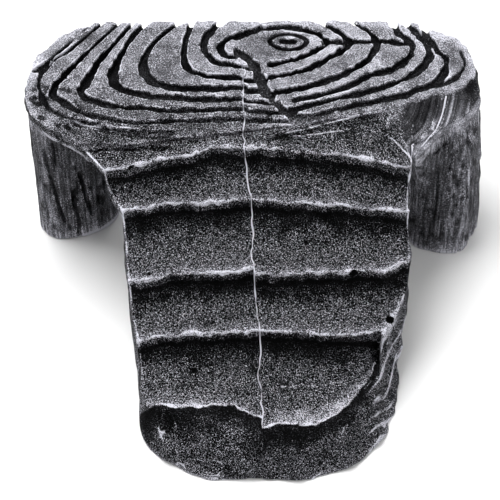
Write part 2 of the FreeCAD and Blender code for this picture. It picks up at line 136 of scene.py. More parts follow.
# Growth rings: each groove's width in mm, and its line. Most run from the seam out and round to
# the back edge. Grooves as thin as SHALLOW_RING are cut less deep.
SHALLOW_RING = 1.1
LEFT_RINGS = [
    (1.9, [(-3, 46.6), (-9, 46), (-11.4, 49), (-9.5, 52.5), (-3, 56), (0, 57.6)]),
    (2, [(-1, 41), (-4, 41.2), (-6, 41.9), (-12, 43.4), (-15.2, 47), (-16, 51.4),
           (-14, 56), (-9, 62)]),
    (2.1, [(1, 36.6), (-3.5, 36.4), (-6.5, 37.4), (-13.5, 37.8), (-19.6, 40.4), (-21.4, 45),
           (-21.2, 52), (-19, 62)]),
    (2.5, [(3, 32.2), (-3.8, 32.4), (-6.2, 33.5), (-20, 33.1), (-28.4, 35), (-31.8, 38.8),
           (-32.8, 43.6), (-31, 49.5), (-27.2, 55.2), (-21, 62)]),
    (2.4, [(5, 27.8), (-3.2, 28.1), (-5.8, 29), (-15.5, 29), (-28, 30), (-35, 31.5),
           (-39.6, 34.2), (-40.9, 39.2), (-39.6, 45), (-36.2, 54), (-30.5, 62)]),
    (2.2, [(9, 24), (-3, 24.5), (-5.8, 25.3), (-24, 24.6), (-30.5, 25.4), (-39, 26.2),
           (-45.8, 28.4), (-49.3, 31.4), (-48.2, 35.4), (-45.6, 43), (-43, 48),
           (-35, 62)]),
    (2, [(12, 20.9), (-3, 21.1), (-5.8, 21.5), (-24, 20.9), (-32, 20.3), (-40.5, 21.5),
           (-49, 23.9), (-54.2, 27.9), (-56.9, 31.4), (-56, 35.8), (-52, 42.2),
           (-48, 48.4), (-38.5, 62)]),
    (1.6, [(-24, 16.9), (-36, 17.3), (-46.5, 19.8), (-55, 23.3), (-58.8, 27),
           (-61, 33.8), (-60.8, 39.2), (-58, 44), (-53.2, 49), (-43, 62)]),
    (1.2, [(-62.5, 40), (-57, 47), (-49, 57.6), (-46, 62)]),
    (1, [(-52, 12), (-33, 12.9), (-19, 14.6), (-7, 16.6)]),
]
RIGHT_RINGS = [
    (1.9, [(3, 42.3), (8.9, 44.2), (13.4, 46.8), (17.6, 50.4), (18.8, 52.2), (15.8, 55),
           (10.9, 57.3), (5.5, 57.7), (0.9, 57), (-3.2, 55.2), (-7, 53.2)]),
    (1.9, [(3, 37.4), (8.8, 39.2), (14.1, 41.6), (19.1, 45.4), (23.8, 49.4), (25.1, 52),
           (23, 55.2), (19.5, 58), (14, 62)]),
    (2, [(4.3, 31.9), (11.8, 33.6), (19.7, 36.7), (25.2, 40.5), (29.8, 44.4), (32.6, 49.4),
           (32.7, 52), (31.5, 54.6), (28.4, 58), (23, 62)]),
    (2, [(9.5, 28.7), (17.8, 31.1), (25, 34.8), (30.8, 38.5), (36.2, 40.6), (41, 45),
           (42.5, 49.2), (42, 51.6), (39.4, 55.4), (36, 62)]),
    (2, [(6, 25), (9.5, 25.6), (20.4, 29.2), (29.2, 31.9), (36, 34.9), (42.8, 39.2),
           (46.7, 45), (47.3, 48.8), (45.2, 53.5), (41, 60)]),
    (1.9, [(9.4, 20.9), (16.8, 23.8), (24.6, 26.3), (35.7, 30), (42.4, 32.4), (48.6, 36.2),
           (51.2, 40.6), (51.8, 45), (49.2, 48.8), (47, 55), (46, 60)]),
    (1, [(-4.5, 20.2), (3, 20.1), (13.7, 21.4), (20.2, 23.9), (29, 26.9), (35.6, 28.8),
           (40, 30.2), (44, 33), (52, 36), (56.5, 42), (56, 48)]),
    (0.9, [(-4, 15.6), (5, 15.2), (15.7, 17.4), (24.4, 19.4), (31, 21.4)]),
]
PITH_RING = (1.35, [(2.4, 52), (4.2, 54.2), (7.7, 55), (11.4, 54), (12.9, 52), (11.2, 49.6),
                   (7.6, 48.6), (4, 49.8), (2.4, 52)])
PITH_PIT = (2.1, [(6.3, 52), (9.1, 52)])
RADIAL_CRACK = (1.8, [(17.6, 51.8), (25.5, 52), (33, 52), (42, 51)])
FRONT_CRACK = (2.5, [(-7, 48.6), (-3.6, 44.8), (-1.6, 40.5), (0.2, 36.2), (1.6, 31.4), (4.2, 27.2),
                     (7.5, 23.6), (12, 21.4)])

# The crack that shows along the left end of the joint, the thin dark lines with their widths in
# mm, and the pale worn lines.
JOINT_CRACK = [(-49, 11.4), (-40, 11.8), (-32, 12), (-26, 12)]
DARK_LINES = [
    (0.6, JOINT_CRACK),
    (0.5, [(-51, 19.8), (-41, 17.6), (-31.5, 15.2), (-17, 14.6)]),
    (0.7, [(2, 15.6), (12, 17.6), (22, 20.4), (29, 22.4)]),
]
PALE_LINES = [
    [(-51, 21.5), (-41, 19.2), (-33, 18.3)],
    [(6, 17.2), (12, 18.9), (22, 21.6), (30, 24)],
    [(7, 16.2), (17, 17.4), (28.5, 19.4)],
    [(33.5, 16.2), (35.6, 14.6), (40.2, 8.2)],
    [(34.6, 22.2), (34, 19.6), (34.2, 16.6)],
]

# Where the leaf-shaped facet at the rim's right front ends and the smooth flare beside it begins.
LEAF_EDGE = [(40.4, 12.4), (44.5, 18), (47.8, 22.5), (49.7, 27), (50.7, 30.5), (51.5, 34)]

# Step edges from the top down: height, then the edge's line from left to right on each half.
STEPS = [
    (52, [(-60, -2), (-44.9, 4.1), (-32, 6.9), (-24.4, 9.4), (-15, 12.4), (-10.2, 13.6),
            (-6.5, 13.1), (0, 11.6)],
           [(-5, 12.6), (2, 12.4), (18.4, 10.6), (30, 8.4), (40.3, 5.1), (50, 1)]),
    (42, [(-50, -3), (-37.3, -1), (-27.2, 0.8), (-14, 2.2), (-2, 3.7), (2, 3.9)],
           [(-4, 2.2), (6, 2.2), (18.5, 1.5), (26, 0.4), (39.8, -2), (50, -4)]),
    (32, [(-50, -20), (-36.3, -17.3), (-24.4, -14.9), (-12, -14.2), (-1, -12.9),
            (3, -12.8)],
           [(-4, -15.2), (8, -14.6), (18.4, -13.9), (33.1, -13.6), (39.2, -10.1),
            (50, -4)]),
    (22, [(-50, -31.5), (-33.1, -29.1), (-24.4, -27.1), (-12, -27), (0, -25.8),
            (3, -25.6)],
           [(-4, -26.4), (10.4, -26.5), (20, -27.6), (26.4, -27.4), (33, -26.8),
            (50, -26)]),
    (12, [(-50, -26), (-30.3, -42.4), (-17, -43.2), (-7.7, -42.4), (-2.2, -45.9),
            (3, -46.4)],
           [(-4, -49.5), (0, -49.7), (4.9, -48.3), (14.7, -48.7), (23.1, -43.2),
            (29.5, -33.2), (34, -22)]),
]
# The y where the landing above the steps meets the platform.
LANDING_BACK = 24.0

# Facets broken off the foot: a point on each, and the way that it faces.
CHIPS = [
    ((-19.5, -47, 9.8), (-0.30, -0.70, 0.65)),
    ((-28.5, -48, 5.5), (-0.72, -0.62, 0.34)),
    ((-12, -54.2, 6), (-0.22, -0.84, 0.50)),
    ((3, -55, 6.5), (0.05, -0.86, 0.52)),
    ((15.5, -55, 5.5), (0.28, -0.86, 0.44)),
    ((26, -48.6, 6.5), (0.60, -0.66, 0.46)),
    ((33.6, -38.5, 8), (0.88, -0.36, 0.32)),
    ((35.6, -28.5, 13), (0.92, -0.18, 0.34)),
]

# Air bubbles in the stair: x, y, z and radius.
BUBBLES = [
    (25, -14.2, 31.6, 1.2), (34.6, -22.4, 22.6, 1), (-34.4, 6, 51.8, 0.8), (31.6, -41, 8, 0.8),
    (-30, -14.6, 32, 0.5), (12, -4.5, 33.5, 0.5), (-18, -33, 14, 0.5), (8, -34, 13, 0.45),
]

# ---------------- grids and noise

CELL = 0.39
FINE_CELL = 0.31
WORLD_LOW = np.array([-75.0, -75.0, -10.0])
WORLD_HIGH = np.array([75.0, 75.0, 70.0])


class Grid:
    """A regular grid: its coordinates as 3D-broadcast x, y and z, and as 2D-broadcast px and py."""

    def __init__(self, low, high, cell):
        self.cell = cell
        self.low = np.array(low, float)
        counts = np.ceil((np.array(high) - self.low) / cell).astype(int) + 1
        self.axes = [self.low[i] + cell * np.arange(counts[i]) for i in range(3)]
        self.x = self.axes[0].astype(np.float32)[:, None, None]
        self.y = self.axes[1].astype(np.float32)[None, :, None]
        self.z = self.axes[2].astype(np.float32)[None, None, :]
        self.px = self.axes[0].astype(np.float32)[:, None]
        self.py = self.axes[1].astype(np.float32)[None, :]


def noise(axes, cells, seed, first_axis=0):
    """A smooth random field of about -1 to 1 on those axes, with features about `cells` mm long."""
    random = np.random.default_rng(seed)
    low = WORLD_LOW[first_axis:first_axis + len(axes)]
    high = WORLD_HIGH[first_axis:first_axis + len(axes)]
    counts = [int(math.ceil((h - l) / c)) + 4 for l, h, c in zip(low, high, cells)]
    field = random.uniform(-1.9, 1.9, counts).astype(np.float32)
    for axis, (coords, start, cell) in enumerate(zip(axes, low, cells)):
        place = (coords - start) / cell
        index = np.floor(place).astype(int)
        part = (place - index).astype(np.float32)
        shape = [1] * len(axes)
        shape[axis] = len(coords)
        part = part.reshape(shape)
        # quadratic spline weights, which have no corners
        before = 0.5 * (1.0 - part) ** 2
        after = 0.5 * part ** 2
        middle = 1.0 - before - after
        field = (
            np.take(field, index, axis) * before
            + np.take(field, index + 1, axis) * middle
            + np.take(field, index + 2, axis) * after
        )
    return field


def noise_3d(grid, cells, seed):
    cells = (cells,) * 3 if np.isscalar(cells) else cells
    return noise(grid.axes, cells, seed)


def noise_2d(grid, cells, seed):
    cells = (cells,) * 2 if np.isscalar(cells) else cells
    return noise(grid.axes[:2], cells, seed)


# How far the seam wanders sideways, over places along it in mm.
SEAM_SPOTS = np.arange(-70.0, 69.0, 0.4)
SEAM_WANDER = 0.34 * noise([SEAM_SPOTS], [5.0], 1, 1) + 0.26 * noise([SEAM_SPOTS], [1.4], 2, 1)
# Where the strokes brushed on the leaf-shaped facet are pale or dark, over the same scale.
STROKES = noise([SEAM_SPOTS], [1.0], 3, 1)


def ramp(value, low, high):
    """0 below low, 1 above high, and smooth between."""
    t = np.clip((value - low) / (high - low), 0.0, 1.0)
    return t * t * (3.0 - 2.0 * t)


def smooth_max(a, b, radius):
    """The larger of two fields, rounded where they meet."""
    h = np.clip(0.5 + 0.5 * (a - b) / radius, 0.0, 1.0)
    return b + (a - b) * h + radius * h * (1.0 - h)


# ---------------- lines and outlines


def curve_through(points, closed=False, steps=6):
    """A Catmull-Rom curve through the points, as an array of short straight runs."""
    points = np.array(points, float)
    if closed:
        points = np.vstack([points[-1], points, points[:2]])
    else:
        points = np.vstack([2 * points[0] - points[1], points, 2 * points[-1] - points[-2]])
    found = []
    for a, b, c, d in zip(points, points[1:], points[2:], points[3:]):
        for t in np.arange(steps) / steps:
            found.append(
                0.5 * (2 * b + (c - a) * t + (2 * a - 5 * b + 4 * c - d) * t**2
                       + (3 * b - a - 3 * c + d) * t**3)
            )
    found.append(points[-2])
    return np.array(found)


def line_distance(px, py, line):
    """Distance in plan from each point to a line of straight runs."""
    best = None
    for (ax, ay), (bx, by) in zip(line, line[1:]):
        length_squared = (bx - ax) ** 2 + (by - ay) ** 2
        if length_squared < 1e-12:
            continue
        along = np.clip(((px - ax) * (bx - ax) + (py - ay) * (by - ay)) / length_squared, 0.0, 1.0)
        away = (px - ax - along * (bx - ax)) ** 2 + (py - ay - along * (by - ay)) ** 2
        best = away if best is None else np.minimum(best, away)
    return np.sqrt(best)


def outline_distance(px, py, points):
    """Signed distance in plan to a closed smooth outline: below 0 inside it."""
    line = curve_through(points, closed=True)
    inside = np.zeros(np.broadcast(px, py).shape, bool)
    for (ax, ay), (bx, by) in zip(line, line[1:]):
        if ay == by:
            continue
        crosses = ((ay > py) != (by > py)) & (px < (bx - ax) * (py - ay) / (by - ay) + ax)
        inside ^= crosses
    return np.where(inside, -1.0, 1.0) * line_distance(px, py, line)


def y_of(line, x):
    xs, ys = zip(*line)
    return np.interp(x, xs, ys)


def x_of(line, y):
    xs, ys = zip(*line)
    return np.interp(y, ys, xs)


def right_of_seam(px, py):
    """Distance in plan to the right of the seam, which wanders a little either way."""
    return px - x_of(SEAM, py) - np.interp(py, SEAM_SPOTS, SEAM_WANDER)


def right_of_crack(px, py):
    """Distance in plan to the right of the front crack, which runs straight on past its ends."""
    return px - x_of(FRONT_CRACK[1][::-1], py)


def right_of_leaf(x, y):
    """Distance in plan to the right of the leaf-shaped facet's bright edge."""
    return x - x_of(LEAF_EDGE, y)


def behind_joint(px, py):
    """Distance in plan behind the line where the stair meets the platform."""
    distance = line_distance(px, py, np.array(JOINT))
    return np.where(py > y_of(JOINT, px), distance, -distance)


def groove(px, py, width, points, depth, ragged):
    """The depth that a groove along that line takes from a surface."""
    away = line_distance(px, py, curve_through(points)) + ragged
    return depth * ramp(-away, -width / 2 - 0.15, -width / 2 + 0.2)


def leaning_wall(grid, low, high, up):
    """A wall whose outline turns from low into high as up goes from 0 to 1."""
    low, high = [outline_distance(grid.px, grid.py, points)[:, :, None] for points in (low, high)]
    return low * (1.0 - up) + high * up


def above(grid, surface, steepest):
    """Distance above a height map, shortened on slopes, but no more than for the steepest one."""
    slope = np.gradient(surface, grid.cell)
    steep = np.sqrt(1.0 + np.clip(slope[0] ** 2 + slope[1] ** 2, 0.0, steepest**2))
    return (grid.z - surface[:, :, None]) / steep[:, :, None]


# ---------------- the platform's field


def face_sink(y):
    """How far the ringed face sinks towards the stair."""
    return 0.9 * ramp(-y, -24.0, -12.0)


def platform_top_map(grid):
    """Height of the ringed face over the plan."""
    px, py = grid.px, grid.py
    ragged = 0.24 * noise_2d(grid, 1.2, 11) + 0.30 * noise_2d(grid, 3.6, 12)
    # near the back left the grooves lie close together and run straighter
    ragged = ragged * (1.0 - 0.5 * ramp(py, 38.0, 48.0) * ramp(-px, 10.0, 25.0))
    narrower_in_front = 0.15 * ramp(-py, -30.0, -20.0)
    narrower_back_left = 0.45 * ramp(py, 42.0, 52.0) * ramp(-px, 14.0, 24.0)
    ring_edge = ragged + narrower_in_front + narrower_back_left
    wobble = 1.0 + 0.25 * noise_2d(grid, 8.0, 13)
    depth = (1.5 + 0.9 * ramp(py, 22.0, 48.0)) * wobble
    cut = np.zeros(np.broadcast(px, py).shape, np.float32)
    crack = right_of_crack(px, py)
    for side, rings in ((-1, LEFT_RINGS), (1, RIGHT_RINGS)):
        here = np.zeros_like(cut)
        for width, points in rings:
            share = depth if width > SHALLOW_RING else depth * 0.55
            here = np.maximum(here, groove(px, py, width, points, share, ring_edge))
        # the innermost groove of each half runs on into the other half behind the pith
        mask = (side * crack > 0) | (py > 50.0)
        cut = np.where(mask, np.maximum(cut, here), cut)
    crack_edge = ragged + 0.55 * noise_2d(grid, 2.2, 14)
    for line, line_depth, edge in (
        (PITH_RING, 1.3, ragged * 0.5),
        (PITH_PIT, 1.6, ragged * 0.3),
        (RADIAL_CRACK, 1.7, ragged),
        (FRONT_CRACK, 1.8, crack_edge),
    ):
        cut = np.maximum(cut, groove(px, py, *line, line_depth, edge))
    surface = FACE - cut
    surface += 0.16 * noise_2d(grid, 7.0, 15) + 0.05 * noise_2d(grid, 1.6, 16)
    # the floor of a groove is rougher than the worn top of a ridge
    surface += 0.14 * noise_2d(grid, 1.1, 17) * np.clip(cut, 0.0, 1.0)
    surface -= face_sink(py)
    return surface.astype(np.float32)


def platform_field(grid):
    up = np.clip((grid.z - UNDERSIDE) / (TOP - UNDERSIDE), 0.0, 1.0)
    wall = leaning_wall(grid, PLATFORM_BOTTOM, PLATFORM_TOP, up)
    # bark on the rim: upright grooves that fade where the rim was trimmed smooth
    bark = 0.4 * noise_3d(grid, (2.2, 2.2, 9.0), 21) + 0.3 * noise_3d(grid, (1.1, 1.1, 4.0), 22)
    chips = 0.45 * noise_3d(grid, 3.2, 23) + 0.22 * noise_3d(grid, 1.2, 24)
    wall = wall + (bark + chips) * (1.0 - 0.85 * trimmed_rim(grid))
    wall = wall + leaf_facet(grid)
    field = smooth_max(wall, above(grid, platform_top_map(grid), 3.0), 0.35)
    underside = UNDERSIDE - grid.z + 0.15 * noise_3d(grid, 4.0, 25)
    return smooth_max(field, underside, 0.8).astype(np.float32)


def leaf_facet(grid):
    """A rough leaf-shaped facet let into the rim's right front, with strokes that run down it."""
    inside = ramp(-right_of_leaf(grid.px, grid.py), 0.0, 0.6)
    inside = inside * ramp(grid.px, 36.0, 38.0) * ramp(-grid.py, -33.0, -31.0)
    strokes = np.abs(noise_3d(grid, (2.0, 5.0, 3.0), 26)) + 0.5 * noise_3d(grid, (1.1, 2.0, 1.6), 27)
    return inside[:, :, None] * (0.9 + 1.1 * strokes)


def left_corner(x, y):
    """1 at the rim's left front corner, where its lower edge was trimmed smooth and left bare."""
    return ramp(-x, 45.0, 50.0) * ramp(-y, -25.0, -20.0)


def trimmed_rim(grid):
    """1 where the rim's lower edge was trimmed smooth, and 0.7 at the right front corner."""
    right = ramp(grid.x, 39.0, 41.0) * ramp(-grid.y, -31.0, -26.0)
    low = ramp(-grid.z, -(UNDERSIDE + 4.6), -(UNDERSIDE + 3.4))
    return np.maximum(left_corner(grid.x, grid.y), right * 0.7) * low


# ---------------- the stair's field


def step_edges(grid, half):
    """Each step's ragged edge, as its y over the plan, from the top step down."""
    jag = 0.42 * noise_2d(grid, (3.0, 9.0), 31 + half) + 0.34 * noise_2d(grid, (1.0, 4.0), 33 + half)
    return [y_of(step[1 + half], grid.px) + jag for step in STEPS]


def stair_top_map(grid, half):
    """Height of the treads and their scooped risers over the plan, for half 0 (left) or 1 (right)."""
    px, py = grid.px, grid.py
    edges = step_edges(grid, half)
    height = np.full(np.broadcast(px, py).shape, STEPS[0][0], np.float32)
    # the landing rises from the first edge to the platform
    landing = np.clip((py - edges[0]) / (LANDING_BACK - edges[0]), 0.0, 1.0)
    height = height + 2.6 * landing**0.8
    for number in range(len(STEPS) - 1):
        above, below = STEPS[number][0], STEPS[number + 1][0]
        start, end = edges[number], edges[number + 1]
        run = np.clip((start - py) / (start - end), 0.0, 1.0)
        scoop = 1.0 - np.sqrt(np.clip(1.0 - (1.0 - run) ** 2.2, 0.0, 1.0))
        lip = 0.9 * ramp(run, 0.62, 1.0)
        fall = below + (above - below) * scoop**0.85 + lip * (number < len(STEPS) - 2) - 0.35
        height = np.where(py < start, np.minimum(height, fall), height)
    height = height + 0.30 * noise_2d(grid, 6.0, 35) + 0.10 * noise_2d(grid, 2.0, 36)
    height = height - groove(px, py, 1.0, JOINT_CRACK, 0.9, 0.2 * noise_2d(grid, 1.5, 37))
    return height.astype(np.float32)


def edge_height(py):
    """Height of the treads' general slope, which the side walls rise to."""
    return np.interp(py, [-60.0, -42.0, -26.0, -14.0, 0.0, 6.0, 16.0], [12, 12.5, 22, 32, 42, 51, 54])


def stair_field(grid, half):
    surface = stair_top_map(grid, half)
    px, py = grid.px, grid.py
    top_edge = outline_distance(px, py, STAIR_TOP_EDGE)
    foot_edge = outline_distance(px, py, STAIR_FOOT_EDGE)
    full = edge_height(py.ravel())[None, :, None].astype(np.float32)
    up = np.clip(grid.z / full, 0.0, 1.0)
    # the wing at the stair's top left is a bracket, undercut so that the cave runs in below it
    wing = ramp(py, -3.0, 5.0) * ramp(-px, 20.0, 30.0)
    # the front of the foot swells, and the side walls are straight
    front = ramp(-py, 34.0, 50.0)[:, :, None]
    up = up * (1.0 - front) + up**2.3 * front
    wall = foot_edge[:, :, None] * (1.0 - up) + top_edge[:, :, None] * up
    wall = wall + rock(grid) * (0.35 + 0.65 * np.maximum(front, ramp(px, 24.0, 34.0)[:, :, None]))
    wall = wall + strata(grid, top_edge)
    wall = wall + 0.6 * wing[:, :, None] * np.clip(surface[:, :, None] - 1.6 - grid.z, 0.0, None)
    grain = 0.11 * noise_3d(grid, 0.9, 41) + 0.08 * noise_3d(grid, 2.1, 42)
    field = smooth_max(wall, above(grid, surface, 4.0) + grain, 0.3)
    field = chipped(grid, field)
    field = smooth_max(field, bubbles(grid), 0.4)
    crawl = crawl_space(grid) + 0.5 * noise_3d(grid, 6.0, 43)
    field = smooth_max(field, -crawl, 1.0)
    return smooth_max(field, -grid.z, 0.5).astype(np.float32)


def crawl_space(grid):
    """Below 0 in the sloping space under the stair."""
    foot_y, head_y, head_z = -30.0, 25.0, 42.0
    length = math.hypot(head_y - foot_y, head_z)
    return ((grid.z * (head_y - foot_y) - (grid.y - foot_y) * head_z) / length).astype(np.float32)


def rock(grid):
    """Broken rock: broad facets with creases between them, and finer chips."""
    broad = noise_3d(grid, (9.0, 9.0, 6.0), 51)
    crease = np.abs(noise_3d(grid, (7.0, 7.0, 5.0), 52))
    fine = np.abs(noise_3d(grid, 2.6, 53))
    return 0.8 * broad - 1.1 * crease + 0.5 - 0.4 * fine


def strata_level(grid, top_edge):
    """Which ledge of the right cheek a place is on, counted outwards from the treads' border."""
    return (top_edge[:, :, None] - 0.12 * grid.z + 0.7 * noise_3d(grid, (6.0, 6.0, 8.0), 61)) / 2.3


def strata(grid, top_edge):
    """Ledges down the right cheek of the stair, side by side with the treads' border."""
    phase = np.mod(strata_level(grid, top_edge), 1.0)
    ledge = 0.9 * (0.5 - phase) * ramp(phase, 0.0, 0.2)
    here = ramp(grid.x, 26.0, 32.0) * ramp(-grid.y, 12.0, 18.0)
    return ledge * here


def away_from(grid, x, y, z):
    return np.sqrt((grid.x - x) ** 2 + (grid.y - y) ** 2 + (grid.z - z) ** 2)


def chipped(grid, field):
    """The field with flat facets broken off it."""
    for (x, y, z), (nx, ny, nz) in CHIPS:
        length = math.sqrt(nx * nx + ny * ny + nz * nz)
        facet = ((grid.x - x) * nx + (grid.y - y) * ny + (grid.z - z) * nz) / length
        rough = 0.25 * noise_3d(grid, 3.0, int(abs(x * 10)))
        fade = 1.3 * np.clip(away_from(grid, x, y, z) - 6.0, 0.0, None)
        field = np.maximum(field, facet + rough - fade)
    return field


def bubbles(grid):
    """Small round pits where air was trapped in the resin: above 0 inside a pit."""
    deepest = np.full(1, -9.0, np.float32)
    for x, y, z, radius in BUBBLES:
        deepest = np.maximum(deepest, radius - away_from(grid, x, y, z))
    return deepest


# ---------------- the legs' fields


def leg_field(grid, leg):
    """A leg: an outline at the floor that turns into another at the top, with bark on it."""
    up = np.clip(grid.z / LEG_TOP, 0.0, 1.0) ** leg.flare
    wall = leaning_wall(grid, leg.foot, leg.head, up)
    wall = wall + 1.3 * leg_cracks(grid, leg)
    bark = 0.45 * noise_3d(grid, (2.0, 2.0, 26.0), leg.seed + 2)
    bark = bark + 0.3 * noise_3d(grid, (0.9, 0.9, 12.0), leg.seed + 3)
    furrows = np.abs(noise_3d(grid, (2.2, 2.2, 20.0), leg.seed + 4))
    wall = wall + leg.rough(grid) * (bark + 0.7 * ramp(-furrows, -0.3, 0.0))
    wall = wall + 0.16 * noise_3d(grid, 5.0, leg.seed + 5)
    wall = wall + 0.06 * noise_3d(grid, (1.0, 1.0, 2.5), leg.seed + 6)
    wall = wall + 0.8 * leg_pits(grid, leg) * leg.pitted(grid)
    field = smooth_max(wall, grid.z - LEG_TOP, 0.4)
    return smooth_max(field, -grid.z, 0.8).astype(np.float32)


def left_leg_rough(grid):
    """The left leg is rough outside and behind, and smooth where it faces the stair."""
    outside = ramp(-grid.x, 59.0, 63.0)
    behind = ramp(grid.y, 36.0, 44.0) * ramp(-grid.x, 42.0, 48.0)
    return np.maximum(0.55 * outside, 0.9 * behind) + 0.06


def right_leg_rough(grid):
    """The right leg is rough outside and behind too."""
    outside = ramp(grid.x + 0.25 * grid.y, 55.5, 59.5)
    behind = ramp(grid.y, 44.0, 50.0) * ramp(grid.x, 42.0, 46.0)
    return np.maximum(outside, behind) * 0.9 + 0.05


def left_leg_pitted(grid):
    """A few pits lie near the left leg's foot."""
    return 0.3 * ramp(-grid.z, -9.0, -2.0) * ramp(-grid.x, 44.0, 48.0)


def right_leg_pitted(grid):
    """Rows of pits run down the right leg's front."""
    return ramp(grid.x, 47.0, 48.0) * ramp(-grid.x, -53.0, -51.5) * ramp(grid.z, 2.0, 6.0)


# Narrow upright cracks on the legs' fronts: (x, z) at the top and at the bottom, y, half width
# and how strong, 0 to 1.
LEFT_LEG_CRACKS = [
    ((-60.4, 38), (-57.2, 7), 25.4, 0.35, 1),
    ((-57.9, 46), (-57.6, 31), 25, 0.3, 0.9),
    ((-53.6, 21), (-53.2, 1), 25.4, 0.45, 1),
    ((-51.2, 28), (-49, 8), 26.4, 0.45, 1),
    ((-63.2, 44), (-62.4, 24), 27, 0.3, 0.5),
    ((-47, 16), (-46.2, 2), 28.8, 0.3, 0.5),
]
RIGHT_LEG_CRACKS = [
    ((46.6, 40), (46.8, 8), 21.8, 0.15, 0.25),
    ((49.4, 43), (49.8, 10), 20.6, 0.2, 0.4),
    ((51.2, 42), (51.8, 5), 20.2, 0.2, 0.4),
    ((54.4, 44), (55.6, 4), 20.2, 0.2, 0.4),
    ((57.4, 44), (58.8, 6), 21.4, 0.25, 0.5),
    ((60, 45), (61.4, 9), 25, 0.25, 0.5),
]


Leg = namedtuple("Leg", "foot head flare cracks rough pitted bare shade seed")

# `bare` and `shade` give paint at places in mm: how bare the lower rim is, and how pale the bark.
LEGS = {
    "left_leg": Leg(
        LEFT_LEG_FOOT, LEFT_LEG_HEAD, 1.0, LEFT_LEG_CRACKS, left_leg_rough, left_leg_pitted,
        bare=lambda p: ramp(p[:, 0], -56.0, -50.0),
        shade=lambda p: 0.64 + 0.07 * ramp(-p[:, 2], -16.0, -4.0),
        seed=71,
    ),
    "right_leg": Leg(
        RIGHT_LEG_FOOT, RIGHT_LEG_HEAD, 2.6, RIGHT_LEG_CRACKS, right_leg_rough, right_leg_pitted,
        bare=lambda p: 0.3 * ramp(-p[:, 0], -60.0, -54.0),
        shade=lambda p: 0.63 + 0.06 * ramp(p[:, 0], 50.0, 54.0),
        seed=81,
    ),
}


def leg_cracks(grid, leg):
    """How deep into a crack, 0 to 1, with the cracks wandering a little."""
    total = np.zeros((1, 1, 1), np.float32)
    wander = 0.5 * noise_3d(grid, (9.0, 9.0, 7.0), leg.seed)
    broken = ramp(noise_3d(grid, (5.0, 5.0, 5.0), leg.seed + 1), -0.75, -0.2)
    for (top_x, top_z), (low_x, low_z), y, half_width, strength in leg.cracks:
        middle = top_x + (low_x - top_x) * (top_z - grid.z) / (top_z - low_z)
        away = np.hypot(grid.x - middle - wander, 0.35 * (grid.y - y))
        ends = ramp(grid.z, low_z - 2.0, low_z + 2.0) * ramp(-grid.z, -top_z - 2.0, -top_z + 2.0)
        total = np.maximum(total, strength * ends * ramp(-away, -half_width - 0.25, -half_width + 0.2))
    return (total * broken).astype(np.float32)


def leg_pits(grid, leg):
    return ramp(noise_3d(grid, (1.1, 1.1, 1.5), leg.seed + 7), 0.45, 0.8)


# ---------------- meshing

# How far in mm a place stands proud when its mask is 1.
PROUD = 0.35

def blurred(field, reach):
    """The field averaged with its neighbours at 1, 2, 4... cells, up to reach."""
    step = 1
    while step <= reach:
        for axis in range(3):
            padded = np.pad(field, [(step, step) if a == axis else (0, 0) for a in range(3)], "edge")
            size = field.shape[axis]
            before = np.take(padded, range(0, size), axis)
            after = np.take(padded, range(2 * step, 2 * step + size), axis)
            field = 0.5 * field + 0.25 * (before + after)
        step *= 2
    return field


def sample(field, spots):
    """The field's value at those places, in grid cells. It works in two or three dimensions."""
    last = np.array(field.shape) - 2
    base = np.clip(np.floor(spots).astype(int), 0, last)
    part = np.clip(spots - base, 0.0, 1.0)
    total = np.zeros(len(spots))
    for offset in itertools.product((0, 1), repeat=field.ndim):
        weight = np.prod(np.where(offset, part, 1.0 - part), axis=1)
        total += weight * field[tuple((base + offset).T)]
    return total


def reader(grid, field):
    """A function that reads a plan map or a field at places in mm."""
    low = grid.low[:field.ndim]
    return lambda p: sample(field, (p[:, :field.ndim] - low) / grid.cell)


def off_curve(p, points):
    """Distance in plan to the curve through the points."""
    return line_distance(p[:, 0], p[:, 1], curve_through(points, steps=3))


def dark_lines(p):
    """Paint that the thin cracks at the platform's front take away."""
    total = np.zeros(len(p))
    for width, points in DARK_LINES:
        total += np.exp(-(off_curve(p, points) / width) ** 2)
    return 0.4 * total * ramp(p[:, 2], UNDERSIDE + 2.0, UNDERSIDE + 3.0)


def pale_lines(p):
    """Distance to the nearest of the worn lines on top of the platform and the landing."""
    nearest = np.full(len(p), FAR)
    for points in PALE_LINES:
        nearest = np.minimum(nearest, off_curve(p, points))
    return nearest + FAR * ramp(-p[:, 2], -UNDERSIDE - 3.0, -UNDERSIDE - 2.0)


def add_object(name, data):
    thing = bpy.data.objects.new(name, data)
    bpy.context.scene.collection.objects.link(thing)
    return thing


